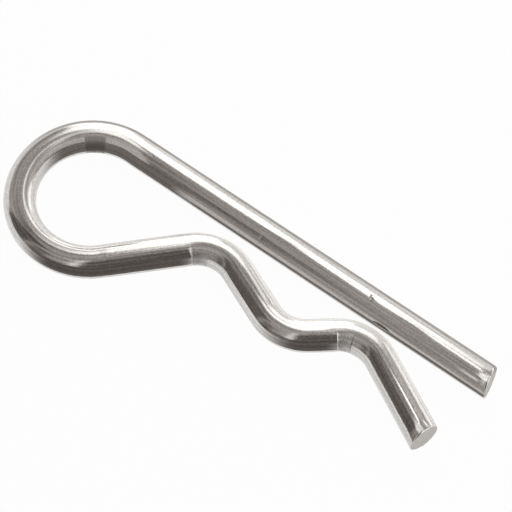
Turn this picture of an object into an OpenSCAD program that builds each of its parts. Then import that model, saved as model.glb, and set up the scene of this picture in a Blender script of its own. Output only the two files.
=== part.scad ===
// Spring clip bent from one length of round wire. A straight leg goes through the cross hole
// of a shaft, and a waved leg snaps over the shaft's outside.
// The straight leg's axis is the X axis and its tip points along +X. The waved leg lies on the
// -Y side. The origin is where the axis of the held shaft, along Z, crosses the straight leg.

/* [Wire] */
// Diameter of the wire
wire_d = 5; // [2.5:0.25:8]
// How much thinner the wire is drawn where it is bent
bend_draw = 0.04; // [0.02:0.01:0.1]
// Angle that the sheared ends are off square
cut_slant = 12; // [0:1:20]
// Width of the bevel round the sheared ends
edge_break = 0.25; // [0.1:0.05:0.6]

/* [Straight leg] */
// Length of the straight leg along its axis, from the eye to the tip
leg_l = 65.5; // [45:0.5:110]

/* [Eye] */
// Inside diameter of the eye
eye_d = 16.5; // [14:0.5:30]
// Slope at which the wire comes back from the eye towards the straight leg
arm_slope = 45.5; // [35:0.5:60]

/* [Waved leg] */
// Diameter of the shaft that the valley between the two humps holds
shaft_d = 17.5; // [15:0.5:30]
// Clear gap between the first hump and the straight leg
first_gap = 1.7; // [0.5:0.1:3]
// Clear gap between the second hump and the straight leg
second_gap = 0.65; // [0.3:0.05:2]
// Inside radius of the bends at the humps and the valley
bend_r = 4.5; // [2:0.25:6.5]
// Slope of the wire from the first hump down to the valley
rise_slope = 23.5; // [15:0.5:45]
// Slope of the wire from the valley back to the second hump
fall_slope = 39; // [25:0.5:50]
// Slope of the flared end, which leads the shaft in
flare_slope = 28; // [10:1:45]
// Length of the flared end's straight stretch along its axis
flare_l = 14; // [6:0.5:20]

/* [Hidden] */
$fn = 96;

wire_r = wire_d / 2;
// Length by which a bend reaches into the thicker straight stretch on each side of it
bend_lap = 0.2;
eye_r = eye_d / 2 + wire_r;
wave_r = bend_r + wire_r;

// Distances of the waved leg's centre line from the straight leg's axis
first_hump_y = wire_d + first_gap;
valley_y = shaft_d / 2 + wire_r;
second_hump_y = wire_d + second_gap;

// How far a bend leads away from its crest before it has turned to a slope
function sag(radius, slope) = radius * (1 - cos(slope));

// Straight stretches between the bends, from what each must climb or fall
arm_l = (eye_r * (1 + cos(arm_slope)) - first_hump_y - sag(wave_r, arm_slope)) / sin(arm_slope);
rise_l = (valley_y - first_hump_y - 2 * sag(wave_r, rise_slope)) / sin(rise_slope);
fall_l = (valley_y - second_hump_y - 2 * sag(wave_r, fall_slope)) / sin(fall_slope);

// Distance of the held shaft's axis from the start of the straight leg
shaft_x = eye_r * sin(arm_slope) + arm_l * cos(arm_slope)
    + wave_r * (sin(arm_slope) + sin(rise_slope)) + rise_l * cos(rise_slope)
    + wave_r * sin(rise_slope);

// Straight stretch of wire along +X. What follows starts at its end.
module run(length) {
    rotate([0, 90, 0]) cylinder(h = length, d = wire_d);
    translate([length, 0, 0]) children();
}

// Straight stretch whose far end is sheared off square, with its -Y side the longer one. The cone
// that trims it has the sheared face as its small end, so its flank bevels the face's rim.
module sheared_run(length) {
    reach = length + wire_d;
    face_r = wire_r / cos(cut_slant) - edge_break;
    intersection() {
        run(reach);
        translate([length, 0, 0]) rotate([0, 0, cut_slant]) rotate([0, -90, 0])
            cylinder(h = reach, r1 = face_r, r2 = face_r + reach);
    }
}

// Ring section about the Z axis that starts on the +X axis, lapped at both ends
module bent_wire(radius, angle) {
    lap = bend_lap / radius * 180 / PI;
    rotate([0, 0, -lap]) rotate_extrude(angle = angle + 2 * lap)
        translate([radius, 0]) circle(d = wire_d - bend_draw);
}

// Bend of the centre line about a point on the +Y side. What follows starts at its end.
module left_bend(radius, angle) {
    translate([0, radius, 0]) {
        rotate([0, 0, -90]) bent_wire(radius, angle);
        rotate([0, 0, angle]) translate([0, -radius, 0]) children();
    }
}

// Bend of the centre line about a point on the -Y side. What follows starts at its end.
module right_bend(radius, angle) {
    translate([0, -radius, 0]) {
        rotate([0, 0, 90 - angle]) bent_wire(radius, angle);
        rotate([0, 0, -angle]) translate([0, radius, 0]) children();
    }
}

// First hump, valley, second hump and flared end, one after the other along the wire
module waved_leg() {
    run(arm_l) right_bend(wave_r, arm_slope + rise_slope)
    run(rise_l) left_bend(wave_r, rise_slope + fall_slope)
    run(fall_l) right_bend(wave_r, fall_slope + flare_slope)
    sheared_run(flare_l);
}

module spring_clip() {
    color("lightgray") translate([-shaft_x, 0, 0]) {
        sheared_run(leg_l);
        rotate([0, 0, 180]) left_bend(eye_r, 180 + arm_slope) waved_leg();
    }
}

spring_clip();
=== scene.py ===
"""Spring clip bent from one length of bright drawn stainless wire, lying flat on a white table.

The wire is swept along the same straight stretches and bends as the solid: straight leg, eye, arm,
first hump, valley, second hump and flared end. Lengths are in millimetres until a mesh is made, and
angles in degrees. A place along the wire is its distance from the straight tip. A side of the wire
is an angle round it, from its left side over its top.
"""
import math

import bpy
import numpy as np
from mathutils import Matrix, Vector


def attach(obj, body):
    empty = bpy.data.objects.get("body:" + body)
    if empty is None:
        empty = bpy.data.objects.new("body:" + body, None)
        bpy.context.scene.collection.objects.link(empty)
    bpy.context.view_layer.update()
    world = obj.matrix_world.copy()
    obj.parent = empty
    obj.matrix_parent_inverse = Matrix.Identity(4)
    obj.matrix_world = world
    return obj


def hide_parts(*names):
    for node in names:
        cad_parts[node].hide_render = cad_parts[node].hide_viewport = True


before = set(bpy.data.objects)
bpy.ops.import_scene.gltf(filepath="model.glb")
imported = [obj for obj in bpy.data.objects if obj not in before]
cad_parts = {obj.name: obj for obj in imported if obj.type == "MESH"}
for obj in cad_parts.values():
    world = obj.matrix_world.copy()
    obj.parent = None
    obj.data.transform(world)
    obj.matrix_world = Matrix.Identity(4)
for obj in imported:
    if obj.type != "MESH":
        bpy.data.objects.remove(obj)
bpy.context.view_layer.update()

MM = 0.001

# Sizes of the clip, as in the part's source
WIRE_R = 2.5
CUT_SLANT = 12
LEG_L = 65.5
EYE_D = 16.5
ARM_SLOPE = 45.5
SHAFT_D = 17.5
FIRST_GAP = 1.7
SECOND_GAP = 0.65
BEND_R = 4.5
RISE_SLOPE = 23.5
FALL_SLOPE = 39
FLARE_SLOPE = 28
FLARE_L = 14

# Radii of the bends and distances from the straight leg, on the wire's centre line
EYE_R = EYE_D / 2 + WIRE_R
WAVE_R = BEND_R + WIRE_R
FIRST_HUMP_Y = 2 * WIRE_R + FIRST_GAP
VALLEY_Y = SHAFT_D / 2 + WIRE_R
SECOND_HUMP_Y = 2 * WIRE_R + SECOND_GAP

# How much thinner in radius the wire is drawn in its bends, and how much the die let it waver
BEND_DRAW = 0.02
DIE_WAVER = 0.0025

# How finely the wire is meshed: steps along it, points round it, and rings in a rim and a face
RING_STEP = 0.5
FINE_STEP = 0.1
AROUND = 128
TURN_RINGS = 12
FACE_RINGS = 20
CAP_POINTS = (TURN_RINGS + FACE_RINGS - 1) * AROUND + 1

# Set the visible skin and the faces in by this much, so that they stay inside the solid
INSET = 0.006
FACE_INSET = 0.035

# The rings lean with the sheared face over LEAN_L, and give way to the rim's round over TIP_L
LEAN_L = 9
TIP_L = 3

# The blades drew the skin in before each sheared face, most of all on one side. The dish is full
# up to DISH_CORE degrees from that side and has run out at DISH_REACH.
START_DISH_SIDE = 58
END_DISH_SIDE = 104
DISH_CORE = 8
DISH_REACH = 60
DISH_DEPTH = 0.11
DISH_L = 1.7

# Round of the sheared rims: its depth and length, what is added to both where the blade first bit,
# and by what share the round is uneven
RIM_DEPTH = 0.10
RIM_BITE_DEPTH = 0.12
RIM_L = 0.16
RIM_BITE_L = 0.34
RIM_UNEVEN = 0.06

# The sheared face: how far it lies behind its rim and how high its ridges are, the same for what is
# torn at the bottom, the heights at which that starts to run out and has run out, and how wide a
# band inside the rim leads in to the face
FACE_HOLLOW = 0.01
RIDGE_HEIGHT = 0.005
TORN_HOLLOW = 0.04
TORN_HEIGHT = 0.016
TORN_FULL_Z = -1.1
TORN_END_Z = -0.7
FACE_BAND = 0.3

# Height of the thin burr at the bottom of the straight tip's face and of the flared end's
START_BURR = 0.02
END_BURR = 0.1

# Seeds of the wavering radius and of the two uneven ends
WAVER_SEED = 11
START_SEED = 21
END_SEED = 31

# Material slots of the mesh
DRAWN = 0
SHEARED = 1

FLOOR_Z = -WIRE_R * MM


def cosd(angle):
    return math.cos(math.radians(angle))


def sind(angle):
    return math.sin(math.radians(angle))


def climb(radius, slope):
    """How far a bend leads away from its crest before it has turned to a slope."""
    return radius * (1 - cosd(slope))


ARM_L = (EYE_R * (1 + cosd(ARM_SLOPE)) - FIRST_HUMP_Y - climb(WAVE_R, ARM_SLOPE)) / sind(ARM_SLOPE)
RISE_L = (VALLEY_Y - FIRST_HUMP_Y - 2 * climb(WAVE_R, RISE_SLOPE)) / sind(RISE_SLOPE)
FALL_L = (VALLEY_Y - SECOND_HUMP_Y - 2 * climb(WAVE_R, FALL_SLOPE)) / sind(FALL_SLOPE)
# Distance of the held shaft's axis from the start of the straight leg
SHAFT_X = (
    EYE_R * sind(ARM_SLOPE)
    + ARM_L * cosd(ARM_SLOPE)
    + WAVE_R * (sind(ARM_SLOPE) + 2 * sind(RISE_SLOPE))
    + RISE_L * cosd(RISE_SLOPE)
)
# How far a sheared face leans back along the wire per millimetre to its left
SLANT = math.tan(math.radians(CUT_SLANT))

# Each stretch of the wire from the straight tip on: name, length of its centre line, and turn,
# which is positive to the left
STRETCHES = [
    ("leg", LEG_L, 0),
    ("eye", EYE_R * math.radians(180 + ARM_SLOPE), 180 + ARM_SLOPE),
    ("arm", ARM_L, 0),
    ("first_hump", WAVE_R * math.radians(ARM_SLOPE + RISE_SLOPE), -(ARM_SLOPE + RISE_SLOPE)),
    ("rise", RISE_L, 0),
    ("valley", WAVE_R * math.radians(RISE_SLOPE + FALL_SLOPE), RISE_SLOPE + FALL_SLOPE),
    ("fall", FALL_L, 0),
    ("second_hump", WAVE_R * math.radians(FALL_SLOPE + FLARE_SLOPE), -(FALL_SLOPE + FLARE_SLOPE)),
    ("flare", FLARE_L, 0),
]


def colour(hex_code):
    """Linear colour of an sRGB hex value."""
    values = [int(hex_code[i:i + 2], 16) / 255 for i in (1, 3, 5)]
    linear = [v / 12.92 if v <= 0.04045 else ((v + 0.055) / 1.055) ** 2.4 for v in values]
    return (*linear, 1.0)


# The wire's path


def stretch_starts():
    """Where each stretch starts along the wire, and the wire's whole length."""
    starts = {}
    at = 0.0
    for name, length, _ in STRETCHES:
        starts[name] = at
        at += length
    return starts, at


START, WIRE_L = stretch_starts()


def along_stretch(point, heading, length, turn):
    """Point and heading that a stretch of this length and turn leads to."""
    half = math.radians(turn / 2)
    chord = length * math.sin(half) / half if turn else length
    middle = math.radians(heading) + half
    x = point[0] + chord * math.cos(middle)
    y = point[1] + chord * math.sin(middle)
    return (x, y), heading + turn


def centre_line(places):
    """Rows of place, x, y and heading along the wire. Both ends are carried on straight."""
    rows = []
    point = (LEG_L - SHAFT_X, 0.0)
    heading = 180.0
    for name, length, turn in STRETCHES:
        start = START[name]
        first = name == STRETCHES[0][0]
        last = name == STRETCHES[-1][0]
        for place in places:
            inside = start <= place < start + length
            if inside or (first and place < 0) or (last and place >= start + length):
                part = (place - start) / length
                at, now = along_stretch(point, heading, length * part, turn * part)
                rows.append((place, *at, now))
        point, heading = along_stretch(point, heading, length, turn)
    return np.array(rows)


def smooth(x, low, high):
    """0 below low, 1 above high, and an even S curve between."""
    t = np.clip((x - low) / (high - low), 0, 1)
    return t * t * (3 - 2 * t)


def window(x, low, high, edge):
    """1 between low and high, 0 outside, with soft edges of the given width."""
    return smooth(x, low - edge, low) * (1 - smooth(x, high, high + edge))


def waves(seed, x, lengths):
    """Sum of sine waves of the given lengths, about 1 high, with random phases."""
    rng = np.random.default_rng(seed)
    total = np.zeros_like(x)
    for length in lengths:
        total += np.sin(2 * math.pi * (x / length + rng.random()))
    return total / math.sqrt(len(lengths))


# The wire's skin

# Marks that the grooved forming pins left: stretch, start and end from the stretch's start, side,
# half width round the wire, depth, how wide the slopes at the start and the end are, and how far
# oil has stained the mark
PIN_MARKS = [
    ("eye", 4.8, 8.2, 6, 64, 0.05, 0.3, 0.1, 0.9),
    ("first_hump", 0.3, 3.4, 172, 68, 0.035, 0.1, 0.4, 0.0),
    ("second_hump", 0.3, 2.8, 172, 68, 0.09, 0.12, 0.4, 0.0),
]

# Small nicks from handling: place along the wire, side, size and depth
NICKS = [
    (21.4, 84, 0.22, 0.07),
    (12.6, 60, 0.22, 0.03),
    (40.5, 48, 0.25, 0.02),
    (WIRE_L - 30.0, 150, 0.25, 0.03),
]

# Angle of each point round the wire, in radians
PHI = np.linspace(0, 2 * math.pi, AROUND, endpoint=False)


def ring_places():
    """Places along the wire that get a ring, close together where something is small."""
    small = [(0, TIP_L), (WIRE_L - TIP_L, WIRE_L)]
    for name, low, high, *_ in PIN_MARKS:
        small.append((START[name] + low - 0.5, START[name] + high + 1.0))
    for at, _, size, _ in NICKS:
        small.append((at - 2.5 * size, at + 2.5 * size))
    places = [0.0]
    while places[-1] < WIRE_L:
        here = places[-1]
        fine = any(low <= here <= high for low, high in small)
        places.append(here + (FINE_STEP if fine else RING_STEP))
    places[-1] = WIRE_L
    return places


def side_distance(phi, side):
    """Angle between each point's side and the given side."""
    return np.abs((np.degrees(phi) - side + 180) % 360 - 180)


def bent_share(s):
    """1 where the wire is bent, and so a little thinner, led in and out over its neighbours."""
    share = np.zeros_like(s)
    for name, length, turn in STRETCHES:
        if turn:
            share = np.maximum(share, window(s, START[name], START[name] + length, 1.0))
    return share


def dish_depth(s, phi):
    """How far the blades drew the skin in at each point."""
    depth = np.zeros_like(s)
    for from_end, side in ((s, START_DISH_SIDE), (WIRE_L - s, END_DISH_SIDE)):
        across = 1 - smooth(side_distance(phi, side), DISH_CORE, DISH_REACH)
        depth += DISH_DEPTH * across * (1 - np.clip(from_end / DISH_L, 0, 1)) ** 2
    return depth


def pin_marks(s, phi):
    """Depth of the pin marks at each point, how far a pin pressed it, and how stained it is."""
    depth = np.zeros_like(s)
    pressed = np.zeros_like(s)
    stained = np.zeros_like(s)
    for name, low, high, side, half_width, deep, first, last, stain in PIN_MARKS:
        at = s - START[name]
        along = smooth(at, low - first, low) * (1 - smooth(at, high, high + last))
        across = 1 - smooth(side_distance(phi, side), half_width * 0.8, half_width)
        depth += deep * along * across
        pressed = np.maximum(pressed, along * across)
        stained = np.maximum(stained, stain * along * across)
    return depth, pressed, stained


def nick_depth(s, phi):
    """Depth of the nicks at each point. They are twice as long across the wire as along it."""
    depth = np.zeros_like(s)
    for at, side, size, deep in NICKS:
        away = np.hypot(s - at, np.radians(side_distance(phi, side)) * WIRE_R / 2)
        depth += deep * np.exp(-((away / size) ** 2))
    return depth


def wire_radius(s, phi):
    """Radius of the wire's skin at each point, how far a pin pressed it, and how stained it is."""
    waver = DIE_WAVER * (1 + waves(WAVER_SEED, s, (9.0, 14.0, 23.0)) / 2)
    marks, pressed, stained = pin_marks(s, phi)
    radius = WIRE_R - INSET - BEND_DRAW * bent_share(s) - waver
    radius = radius - dish_depth(s, phi) - marks - nick_depth(s, phi)
    return radius, pressed, stained


def rolled_rim(phi, seed):
    """Depth and length of the rim's round, which the blade drew in more at the top, where it first
    bit."""
    bite = smooth(np.sin(phi), -0.5, 0.9)
    uneven = 1 + RIM_UNEVEN * waves(seed, phi / (2 * math.pi), (1.0, 0.5, 1 / 3))
    return (RIM_DEPTH + RIM_BITE_DEPTH * bite) * uneven, (RIM_L + RIM_BITE_L * bite) * uneven


def lean(s, phi, left):
    """How far each point of the skin is shifted along the wire: near an end the rings lean with the
    sheared face, and stop where the rim's round starts."""
    shift = -SLANT * left * (1 - window(s, LEAN_L, WIRE_L - LEAN_L, LEAN_L))
    shift += (rolled_rim(phi, START_SEED)[1] + FACE_INSET) * (1 - smooth(s, 0, TIP_L))
    shift -= (rolled_rim(phi, END_SEED)[1] + FACE_INSET) * smooth(s, WIRE_L - TIP_L, WIRE_L)
    return shift


def set_on_line(rows, along, left, up):
    """Points that lie this far along, left of and above the centre line at each row, and where they
    would lie if the wire were straight."""
    s, x, y, heading = rows.T[..., None]
    angle = np.radians(heading)
    bent_x = x + along * np.cos(angle) - left * np.sin(angle)
    bent_y = y + along * np.sin(angle) + left * np.cos(angle)
    return np.stack([bent_x, bent_y, up], axis=-1), np.stack([s + along, left, up], axis=-1)


def skin(rows):
    """Points of the wire's skin, ring by ring, their straightened places, and their marks."""
    s, phi = np.broadcast_arrays(rows[:, :1], PHI)
    radius, pressed, stained = wire_radius(s, phi)
    left = radius * np.cos(phi)
    points, straight = set_on_line(rows, lean(s, phi, left), left, radius * np.sin(phi))
    return points, straight, pressed, stained


def face_relief(radius, edge, seed, burr):
    """How far the sheared face lies behind its rim. It is ridged where the blade cut, and torn at
    the bottom, where the blade broke through and a thin burr stands up."""
    a = radius * np.cos(PHI)
    b = radius * np.sin(PHI)
    from_edge = edge - radius
    ridges = waves(seed + 1, a + 0.05 * b, (0.31, 0.47, 0.83, 1.9))
    tears = waves(seed + 2, 0.6 * a + b, (0.37, 0.71, 1.3))
    ridged = FACE_HOLLOW - RIDGE_HEIGHT * ridges
    torn = (1 - smooth(b, TORN_FULL_Z, TORN_END_Z)) * (TORN_HOLLOW - TORN_HEIGHT * tears)
    ragged = 1 + 0.4 * waves(seed + 3, PHI, (0.23, 0.41, 0.8))
    lip = burr * smooth(-np.sin(PHI), 0.5, 1.0) * ragged * np.exp(-((from_edge / FACE_BAND) ** 2))
    return smooth(from_edge, 0, FACE_BAND) * (ridged + torn) - lip


def cap(row, rim, outward, seed, burr):
    """Points of the rim's round and the sheared face at one end, from the skin's last ring, of
    radius rim, to the middle, and their straightened places."""
    depth, length = rolled_rim(PHI, seed)
    turn = math.pi / 2 * np.arange(1, TURN_RINGS + 1)[:, None] / TURN_RINGS
    edge = rim - depth
    face = edge * np.arange(FACE_RINGS - 1, -1, -1)[:, None] / FACE_RINGS
    radius = np.concatenate([rim - depth * (1 - np.cos(turn)), face])
    back = np.concatenate([length * (1 - np.sin(turn)), face_relief(face, edge, seed, burr)])
    left = radius * np.cos(PHI)
    along = outward * (-back - FACE_INSET) - SLANT * left
    points, straight = set_on_line(row[None], along, left, radius * np.sin(PHI))
    return points.reshape(-1, 3)[:CAP_POINTS], straight.reshape(-1, 3)[:CAP_POINTS]


def ring_faces(first, second, flip):
    """Quads between two rings of vertex numbers."""
    faces = []
    for i in range(AROUND):
        j = (i + 1) % AROUND
        quad = (first[i], first[j], second[j], second[i])
        faces.append(quad[::-1] if flip else quad)
    return faces


def cap_faces(before, first, outward):
    """Faces between the skin's last ring and a cap's points, numbered from first on, and their
    material slots. The innermost ring of the cap is a single point."""
    faces = []
    slots = []
    for k in range(TURN_RINGS + FACE_RINGS - 1):
        now = list(range(first + k * AROUND, first + (k + 1) * AROUND))
        faces += ring_faces(before, now, outward < 0)
        slots += [DRAWN if k < TURN_RINGS - 3 else SHEARED] * AROUND
        before = now
    middle = first + CAP_POINTS - 1
    for i in range(AROUND):
        triangle = (before[i], before[(i + 1) % AROUND], middle)
        faces.append(triangle if outward > 0 else triangle[::-1])
    slots += [SHEARED] * AROUND
    return faces, slots


def give_points(mesh, title, values):
    """Stores a number or a vector for each point of a mesh."""
    values = np.asarray(values, dtype=np.float32)
    kind, field = ("FLOAT_VECTOR", "vector") if values.ndim > 1 else ("FLOAT", "value")
    own = mesh.attributes.new(title, kind, "POINT")
    own.data.foreach_set(field, values.ravel())


def add_object(name, data):
    """Puts a mesh or a camera into the scene."""
    made = bpy.data.objects.new(name, data)
    bpy.context.scene.collection.objects.link(made)
    return made


def spring_wire():
    """The whole clip as one closed mesh, with the straightened wire's places on its points."""
    rows = centre_line(ring_places())
    points, straight, pressed, stained = skin(rows)
    numbers = np.arange(pressed.size).reshape(-1, AROUND).tolist()
    faces = []
    for first, second in zip(numbers, numbers[1:]):
        faces += ring_faces(first, second, False)
    slots = [DRAWN] * len(faces)
    all_points = points.reshape(-1, 3)
    all_straight = straight.reshape(-1, 3)
    ends = ((0, -1, START_SEED, START_BURR), (-1, 1, END_SEED, END_BURR))
    for index, outward, seed, burr in ends:
        rim = np.hypot(straight[index, :, 1], straight[index, :, 2])
        cap_points, cap_straight = cap(rows[index], rim, outward, seed, burr)
        made, made_slots = cap_faces(numbers[index], len(all_points), outward)
        faces += made
        slots += made_slots
        all_points = np.concatenate([all_points, cap_points])
        all_straight = np.concatenate([all_straight, cap_straight])
    mesh = bpy.data.meshes.new("wire_form")
    mesh.from_pydata((all_points * MM).tolist(), [], faces)
    mesh.polygons.foreach_set("material_index", slots)
    mesh.polygons.foreach_set("use_smooth", [True] * len(faces))
    mesh.update()
    unmarked = np.zeros(2 * CAP_POINTS)
    give_points(mesh, "wire_place", all_straight * MM)
    give_points(mesh, "pin_mark", np.concatenate([pressed.ravel(), unmarked]))
    give_points(mesh, "pin_stain", np.concatenate([stained.ravel(), unmarked]))
    return add_object("wire_form", mesh)


# Materials of the clip

# Numbers of a mix node's two colour inputs and of its colour output
MIX_A = 6
MIX_B = 7
MIX_OUT = 2

# Heights of the fine relief on the wire and on its sheared faces
LINE_RELIEF = 0.0045
GRAIN_RELIEF = 0.0012
SCUFF_RELIEF = 0.03
RIDGE_RELIEF = 0.006


def add(tree, kind, settings=None, links=None):
    """Adds a node: settings are its properties or input values, links join its inputs."""
    made = tree.nodes.new(kind)
    for key, value in (settings or {}).items():
        if isinstance(key, str) and hasattr(made, key):
            setattr(made, key, value)
        else:
            made.inputs[key].default_value = value
    for key, source in (links or {}).items():
        tree.links.new(source, made.inputs[key])
    return made


def new_material(name):
    material = bpy.data.materials.new(name)
    material.use_nodes = True
    material.node_tree.nodes.clear()
    return material, material.node_tree


def finish_material(tree, shader):
    add(tree, "ShaderNodeOutputMaterial", links={"Surface": shader.outputs[0]})


def wire_noise(tree, cell, detail):
    """Noise that follows the wire, in cells of these sizes along it, to its left and upwards."""
    place = add(tree, "ShaderNodeAttribute", {"attribute_name": "wire_place"})
    scaled = add(
        tree, "ShaderNodeVectorMath",
        {"operation": "MULTIPLY", 1: tuple(1 / (size * MM) for size in cell)},
        {0: place.outputs["Vector"]},
    )
    return add(
        tree, "ShaderNodeTexNoise", {"Scale": 1.0, "Detail": detail, "Roughness": 0.6},
        {"Vector": scaled.outputs[0]},
    ).outputs[0]


def wire_roughness(tree, lines, grain, scuffs, pressed):
    """A light satin between the die lines, and matt patches where a pin scuffed the skin."""
    line_share = add(
        tree, "ShaderNodeMapRange",
        {"From Min": 0.3, "From Max": 0.7, "To Min": -0.03, "To Max": 0.03}, {"Value": lines},
    )
    grain_share = add(
        tree, "ShaderNodeMapRange",
        {"From Min": 0.3, "From Max": 0.7, "To Min": 0.12, "To Max": 0.19}, {"Value": grain},
    )
    scuff_share = add(
        tree, "ShaderNodeMapRange",
        {"From Min": 0.35, "From Max": 0.65, "To Min": 0.16, "To Max": 0.42}, {"Value": scuffs},
    )
    clean = add(
        tree, "ShaderNodeMath", {"operation": "ADD"},
        {0: line_share.outputs[0], 1: grain_share.outputs[0]},
    )
    return add(
        tree, "ShaderNodeMath", {"operation": "MULTIPLY_ADD"},
        {0: pressed, 1: scuff_share.outputs[0], 2: clean.outputs[0]},
    ).outputs[0]


def wire_tint(tree, lines, grain):
    """Nearly white metal, a little duller where soap was left in the lines and the grain, and
    darker where oil from the forming pin was rubbed into the mark in the eye."""
    line_tone = add(tree, "ShaderNodeMath", {"operation": "MULTIPLY", 1: 0.6}, {0: lines})
    tone = add(
        tree, "ShaderNodeMath", {"operation": "MULTIPLY_ADD", 1: 0.4},
        {0: grain, 2: line_tone.outputs[0]},
    )
    clean = add(
        tree, "ShaderNodeMapRange", {"From Min": 0.38, "From Max": 0.62}, {"Value": tone.outputs[0]}
    )
    metal = add(
        tree, "ShaderNodeMix",
        {"data_type": "RGBA", MIX_A: colour("#B3B0AE"), MIX_B: colour("#E8E6E3")},
        {0: clean.outputs[0]},
    )
    oil = add(tree, "ShaderNodeAttribute", {"attribute_name": "pin_stain"})
    return add(
        tree, "ShaderNodeMix", {"data_type": "RGBA", MIX_B: colour("#A19D98")},
        {0: oil.outputs["Fac"], MIX_A: metal.outputs[MIX_OUT]},
    ).outputs[MIX_OUT]


def wire_height(tree, lines, grain, scuffs, pressed):
    """Height of the die lines and the grain, and of the scuffs inside the pin marks."""
    line_height = add(
        tree, "ShaderNodeMath", {"operation": "MULTIPLY", 1: LINE_RELIEF * MM}, {0: lines}
    )
    height = add(
        tree, "ShaderNodeMath", {"operation": "MULTIPLY_ADD", 1: GRAIN_RELIEF * MM},
        {0: grain, 2: line_height.outputs[0]},
    )
    scuff_height = add(
        tree, "ShaderNodeMath", {"operation": "MULTIPLY", 1: SCUFF_RELIEF * MM}, {0: scuffs}
    )
    return add(
        tree, "ShaderNodeMath", {"operation": "MULTIPLY_ADD"},
        {0: pressed, 1: scuff_height.outputs[0], 2: height.outputs[0]},
    ).outputs[0]


def drawn_stainless_wire():
    """Stainless spring wire, pulled bright through a die: fine lines run along it, a light grain
    from the die soap lies between them, and it mirrors the room in long soft bands."""
    material, tree = new_material("bright_drawn_stainless_wire")
    # Real die lines are 0.02 to 0.05 mm apart. They are drawn 0.3 mm apart, so that they show.
    lines = wire_noise(tree, (22.0, 0.3, 0.3), 3.0)
    # Grain left by the pickled skin under the die soap, in cells of 0.2 mm
    grain = wire_noise(tree, (0.3, 0.2, 0.2), 2.0)
    # Inside the pins' marks the skin is scuffed across the wire
    scuffs = wire_noise(tree, (0.35, 1.3, 1.3), 3.0)
    pressed = add(tree, "ShaderNodeAttribute", {"attribute_name": "pin_mark"}).outputs["Fac"]
    bump = add(
        tree, "ShaderNodeBump", {"Distance": 1.0},
        {"Height": wire_height(tree, lines, grain, scuffs, pressed)},
    )
    shader = add(
        tree, "ShaderNodeBsdfPrincipled", {"Metallic": 1.0},
        {
            "Base Color": wire_tint(tree, lines, grain),
            "Roughness": wire_roughness(tree, lines, grain, scuffs, pressed),
            "Normal": bump.outputs[0],
        },
    )
    finish_material(tree, shader)
    return material


def sheared_stainless():
    """The same wire where it was sheared: a matt grey face with ridges that the blade left."""
    material, tree = new_material("sheared_stainless_end")
    # The ridges are 0.12 mm apart and 1.6 mm high, and go on unchanged along the wire
    ridges = wire_noise(tree, (1000, 0.12, 1.6), 3.0)
    rough = add(
        tree, "ShaderNodeMapRange",
        {"From Min": 0.3, "From Max": 0.7, "To Min": 0.38, "To Max": 0.58}, {"Value": ridges},
    )
    tint = add(
        tree, "ShaderNodeMix",
        {"data_type": "RGBA", MIX_A: colour("#B2AEA9"), MIX_B: colour("#D0CDC9")}, {0: ridges},
    )
    height = add(
        tree, "ShaderNodeMath", {"operation": "MULTIPLY", 1: RIDGE_RELIEF * MM}, {0: ridges}
    )
    bump = add(tree, "ShaderNodeBump", {"Distance": 1.0}, {"Height": height.outputs[0]})
    shader = add(
        tree, "ShaderNodeBsdfPrincipled", {"Metallic": 1.0},
        {
            "Base Color": tint.outputs[MIX_OUT],
            "Roughness": rough.outputs[0],
            "Normal": bump.outputs[0],
        },
    )
    finish_material(tree, shader)
    return material


# Studio

# How plain white the table is to the camera, and in metal and glass
SEEN_WHITE = 0.97
MIRRORED_WHITE = 0.9

# Half the table's width, and the tent's radius, in metres
TABLE_HALF = 3.0
TENT_R = 0.48

# Tones of the studio's cards and windows. The plain tent and the table are 1.
BLACK = 0.135
DARK = 0.22
GREY = 0.42
PALE = 0.56
BRIGHT = 2.0

# Patches of the white tent: azimuths, elevations, tone, and how many degrees the edge fades over.
# Azimuth 0 is on the clip's -Y side and 90 on its +X side. Later patches lie over earlier ones.
TENT = [
    ((-130, -74), (16, 90), GREY, 7),
    ((-112, -44), (54, 66), DARK, 6),
    ((-66, -42), (-20, 57), BLACK, 7),
    ((-36, 4), (-20, 60), 0.40, 4),
    ((-34, -20), (-20, 44), 0.20, 3),
    ((19, 60), (-20, 68), BLACK, 5),
    ((-90, 90), (73, 90), 0.38, 6),
    ((-84, 0), (64, 76), GREY, 4),
    ((167, 182), (24, 45), PALE, 3),
    ((167, 189), (47, 72), PALE, 3),
    ((120, 167), (36, 72), 0.46, 6),
    ((-180, -150), (60, 90), 0.45, 5),
    ((-152, -129), (4, 34), BRIGHT, 3),
    ((-167, -129), (34, 45), BRIGHT, 3),
    ((-166, -129), (45, 55), BRIGHT, 3),
    ((-155, -129), (55, 61), BRIGHT, 3),
    ((-156, -134), (61, 82), BRIGHT, 2.5),
    ((150, 178), (-20, 19), 1.6, 4),
    ((78, 112), (-20, 36), 1.5, 8),
]
TENT_STEP = 3

# Glowing strips that stand on the table beside the wire and only the wire mirrors: they paint
# shadow into its lower side where the white table would show, and by the leg also a light band
# of painted reflection. Columns: name, start and end along the wire, side (1 is left of it and -1
# right), gap from the wire, and tones by height
LOW_CARDS = [
    ("low_card_in_eye", START["eye"] - 14, START["eye"] + 18, 1, 1.0, ((0, 0.2), (5.0, 0.2))),
    (
        "low_card_by_arm", START["arm"] - 13, START["first_hump"] + 4, -1, 1.2,
        ((0, BLACK), (5.0, BLACK)),
    ),
    (
        "low_card_by_valley", START["valley"], START["second_hump"] + 4, -1, 1.2,
        ((0, BLACK), (5.0, BLACK)),
    ),
    (
        "low_card_by_leg", -9, 58, 1, 0.8,
        ((0, DARK), (2.3, DARK), (2.6, 0.70), (3.3, 0.62), (3.8, 0.38), (4.6, 0.40)),
    ),
    ("low_card_behind_leg", -9, START["eye"] + 18, -1, 1.0, ((0, 0.55), (4.3, 0.55))),
]
# Step along the strips, how far their ends feather, and how brightly their backs glow, a little
# above white
LOW_CARD_STEP = 0.5
LOW_CARD_FEATHER = 6
LOW_CARD_BACK = 1.15
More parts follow.
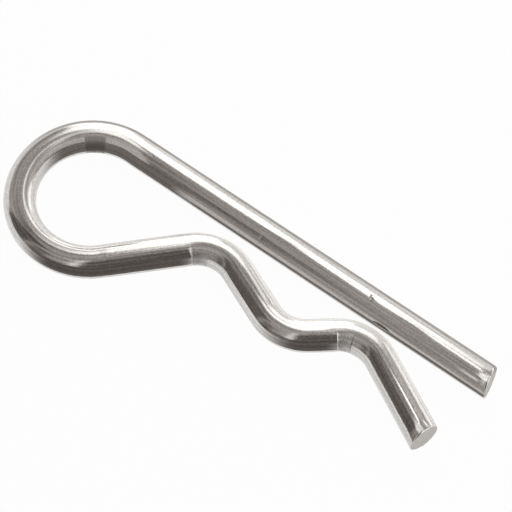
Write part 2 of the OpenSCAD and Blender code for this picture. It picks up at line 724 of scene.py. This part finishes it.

# Small feathered glowing cards, each put where one stretch of the wire mirrors it and seen only
# in the wire: bright ones are painted highlights, grey ones painted shade in its reflection.
# Columns: name, place along the wire, azimuth and elevation seen from there, distance, width,
# height and tone
HELD_CARDS = [
    ("card_over_straight_tip", 0.5, -4, 75, 12, 6.5, 7, 1.5),
    ("card_over_flared_tip", WIRE_L - 0.5, -72, 75, 9, 5, 5, 1.1),
    ("card_over_eye_top", START["eye"] + 8.5, -150, 78, 22, 11, 12, 1.5),
    ("card_in_eye_top", START["eye"] + 7.5, 54, 46, 9, 10, 10, 0.56),
    ("card_over_eye", START["eye"] + 25.5, -149, 57, 25, 19, 18, 0.42),
    ("card_over_rise", START["rise"] + 4, -142, 60, 25, 19, 12, 0.38),
    ("card_over_flare", START["flare"] + 2.5, -138, 63, 25, 15, 10, 0.44),
]
HELD_CARD_POINTS = 13
HELD_CARD_CORE = 0.6  # share of the card that isn't feathered


def matt_white_table():
    """Matt white paper. The camera and the metal see it almost plain white, so that only a faint
    trace of the clip's shadow is kept."""
    material, tree = new_material("matt_white_table")
    path = add(tree, "ShaderNodeLightPath")
    mirror = add(
        tree, "ShaderNodeMath", {"operation": "ADD"},
        {0: path.outputs["Is Glossy Ray"], 1: path.outputs["Is Transmission Ray"]},
    )
    mirrored = add(
        tree, "ShaderNodeMath", {"operation": "MULTIPLY", 1: MIRRORED_WHITE}, {0: mirror.outputs[0]}
    )
    plain = add(
        tree, "ShaderNodeMath",
        {"operation": "MULTIPLY_ADD", 1: SEEN_WHITE, "use_clamp": True},
        {0: path.outputs["Is Camera Ray"], 2: mirrored.outputs[0]},
    )
    paper = add(tree, "ShaderNodeBsdfDiffuse", {"Color": colour("#F2F0EE")})
    white = add(tree, "ShaderNodeEmission", {"Color": colour("#FFFFFF"), "Strength": 1.0})
    mixed = add(
        tree, "ShaderNodeMixShader", None,
        {0: plain.outputs[0], 1: paper.outputs[0], 2: white.outputs[0]},
    )
    finish_material(tree, mixed)
    return material


def sprayed_cloth():
    """Glowing sheet for the tent and the cards, no cloth: it gives off light as strong as each
    point's shade, white that turns a little brown as it dims. On the tent this is the studio's
    light; on the cards it is painted shade and painted highlights that only the wire mirrors. Each
    point has a shade for the front, one for the back, and a cover that thins the sheet out."""
    material, tree = new_material("glowing_white_sheet")
    front = add(tree, "ShaderNodeAttribute", {"attribute_name": "front_shade"})
    back = add(tree, "ShaderNodeAttribute", {"attribute_name": "back_shade"})
    cover = add(tree, "ShaderNodeAttribute", {"attribute_name": "cover"})
    side = add(tree, "ShaderNodeNewGeometry")
    strength = add(
        tree, "ShaderNodeMapRange", None,
        {
            "Value": side.outputs["Backfacing"],
            "To Min": front.outputs["Fac"],
            "To Max": back.outputs["Fac"],
        },
    )
    light = add(
        tree, "ShaderNodeMapRange", {"From Min": 0.15, "From Max": 0.8},
        {"Value": strength.outputs[0]},
    )
    tint = add(
        tree, "ShaderNodeMix",
        {"data_type": "RGBA", MIX_A: colour("#FFF4EE"), MIX_B: colour("#FFFEFD")},
        {0: light.outputs[0]},
    )
    glow = add(
        tree, "ShaderNodeEmission", None,
        {"Color": tint.outputs[MIX_OUT], "Strength": strength.outputs[0]},
    )
    clear = add(tree, "ShaderNodeBsdfTransparent")
    mixed = add(
        tree, "ShaderNodeMixShader", None,
        {0: cover.outputs["Fac"], 1: clear.outputs[0], 2: glow.outputs[0]},
    )
    finish_material(tree, mixed)
    material.cycles.emission_sampling = "NONE"
    return material


def direction(azimuth, elevation):
    """Unit vector from the clip towards a place in the studio."""
    flat = cosd(elevation)
    return Vector((sind(azimuth) * flat, -cosd(azimuth) * flat, sind(elevation)))


def table_top():
    """Wide table that the clip lies on."""
    mesh = bpy.data.meshes.new("table_top")
    sides = ((-1, -1), (1, -1), (1, 1), (-1, 1))
    corners = [(x * TABLE_HALF, y * TABLE_HALF, FLOOR_Z) for x, y in sides]
    mesh.from_pydata(corners, [], [(0, 1, 2, 3)])
    mesh.materials.append(matt_white_table())
    add_object("table_top", mesh)


def grid_faces(rows, columns, flip):
    """Quads of a grid of points, row by row."""
    faces = []
    for i in range(rows - 1):
        for j in range(columns - 1):
            a = i * columns + j
            quad = (a, a + 1, a + columns + 1, a + columns)
            faces.append(quad[::-1] if flip else quad)
    return faces


def hidden_sheet(name, cloth, points, faces, shades, back, covers, lights):
    """Glowing sheet that the wire mirrors and the camera doesn't see. Its front glows with a shade
    for each point and its back with one shade, and lights says whether it also lights the table and
    casts shadows."""
    mesh = bpy.data.meshes.new(name)
    mesh.from_pydata(points, [], faces)
    give_points(mesh, "front_shade", shades)
    give_points(mesh, "back_shade", [back] * len(points))
    give_points(mesh, "cover", covers)
    mesh.materials.append(cloth)
    sheet = add_object(name, mesh)
    sheet.visible_camera = False
    sheet.visible_diffuse = lights
    sheet.visible_shadow = lights


def light_tent(cloth):
    """White tent over the clip, with grey and black cards and brighter windows shaded into it."""
    azimuths = np.arange(-180, 180 + TENT_STEP, TENT_STEP)
    elevations = np.arange(-TENT_STEP, 90 + TENT_STEP, TENT_STEP)
    points = []
    shades = []
    for elevation in elevations:
        tones = np.ones(len(azimuths))
        for (az_low, az_high), (el_low, el_high), tone, edge in TENT:
            half = (az_high - az_low) / 2
            away = (azimuths - az_low - half + 180) % 360 - 180
            share = window(away, -half, half, edge) * window(elevation, el_low, el_high, edge)
            tones += (tone - tones) * share
        points += [direction(azimuth, elevation) * TENT_R for azimuth in azimuths]
        shades += tones.tolist()
    faces = grid_faces(len(elevations), len(azimuths), True)
    hidden_sheet("light_tent", cloth, points, faces, shades, 1.0, [1.0] * len(points), True)


def low_card(cloth, name, start, end, side, gap, stripes):
    """Narrow glowing strip that follows the wire, seen only in its mirror. Its tones paint shadow,
    and where they are light a band of painted reflection, into the lower side of the wire in place
    of the white table. Its back glows a little brighter than white and its ends are feathered."""
    rows = centre_line(np.arange(start, end, LOW_CARD_STEP))
    points = []
    shades = []
    covers = []
    for s, x, y, heading in rows:
        off = side * (WIRE_R + gap)
        across = Vector((-sind(heading) * off, cosd(heading) * off, 0))
        cover = window(s, start + LOW_CARD_FEATHER, end - LOW_CARD_FEATHER, LOW_CARD_FEATHER)
        for height, tone in stripes:
            points.append((Vector((x, y, height)) + across) * MM + Vector((0, 0, FLOOR_Z)))
            shades.append(tone)
            covers.append(cover)
    faces = grid_faces(len(rows), len(stripes), side > 0)
    hidden_sheet(name, cloth, points, faces, shades, LOW_CARD_BACK, covers, False)


def held_card(cloth, name, place, azimuth, elevation, away, width, height, tone):
    """Small glowing card with feathered edges that faces the wire from a little way off. Only the
    wire sees it, as a painted highlight or painted shade in its reflection.
    """
    row = centre_line([place])[0]
    toward = direction(azimuth, elevation)
    sideways = Vector((cosd(azimuth), sind(azimuth), 0))
    middle = Vector((row[1], row[2], 0)) + toward * away
    across = sideways * width / 2
    upward = toward.cross(sideways) * height / 2
    steps = np.linspace(-1, 1, HELD_CARD_POINTS)
    feather = window(steps, -HELD_CARD_CORE, HELD_CARD_CORE, 1 - HELD_CARD_CORE)
    points = [(middle + across * u + upward * v) * MM for v in steps for u in steps]
    covers = np.outer(feather, feather).ravel()
    faces = grid_faces(len(steps), len(steps), False)
    hidden_sheet(name, cloth, points, faces, [tone] * len(points), tone, covers, False)


def white_room():
    """World of plain white."""
    world = bpy.data.worlds.new("white_room")
    world.use_nodes = True
    tree = world.node_tree
    tree.nodes.clear()
    white = add(tree, "ShaderNodeBackground", {"Color": colour("#FFFFFF"), "Strength": 1.0})
    add(tree, "ShaderNodeOutputWorld", links={"Surface": white.outputs[0]})
    bpy.context.scene.world = world


def studio():
    """White room, table, the glowing tent that lights the clip, and the glowing cards that paint
    shade and highlights into the wire's reflections.
    """
    white_room()
    table_top()
    cloth = sprayed_cloth()
    light_tent(cloth)
    for card in LOW_CARDS:
        low_card(cloth, *card)
    for card in HELD_CARDS:
        held_card(cloth, *card)


def camera():
    """Camera above the clip's front right, half a metre away, with a long lens."""
    azimuth = 36.84
    elevation = 62.0
    distance = 0.5
    target = Vector((-10.58, -2.66, -2.5)) * MM
    lens = bpy.data.cameras.new("camera")
    lens.sensor_width = 36
    lens.lens = 235.2
    lens.clip_start = 0.01
    lens.clip_end = 20
    back = direction(azimuth, elevation)
    made = add_object("camera", lens)
    made.location = target + back * distance
    made.rotation_mode = "QUATERNION"
    made.rotation_quaternion = back.to_track_quat("Z", "Y")
    bpy.context.scene.camera = made


camera()
studio()

clip = spring_wire()
clip.data.materials.append(drawn_stainless_wire())
clip.data.materials.append(sheared_stainless())
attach(clip, "root")
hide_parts("spring_clip")

bpy.context.scene.view_settings.view_transform = "Standard"
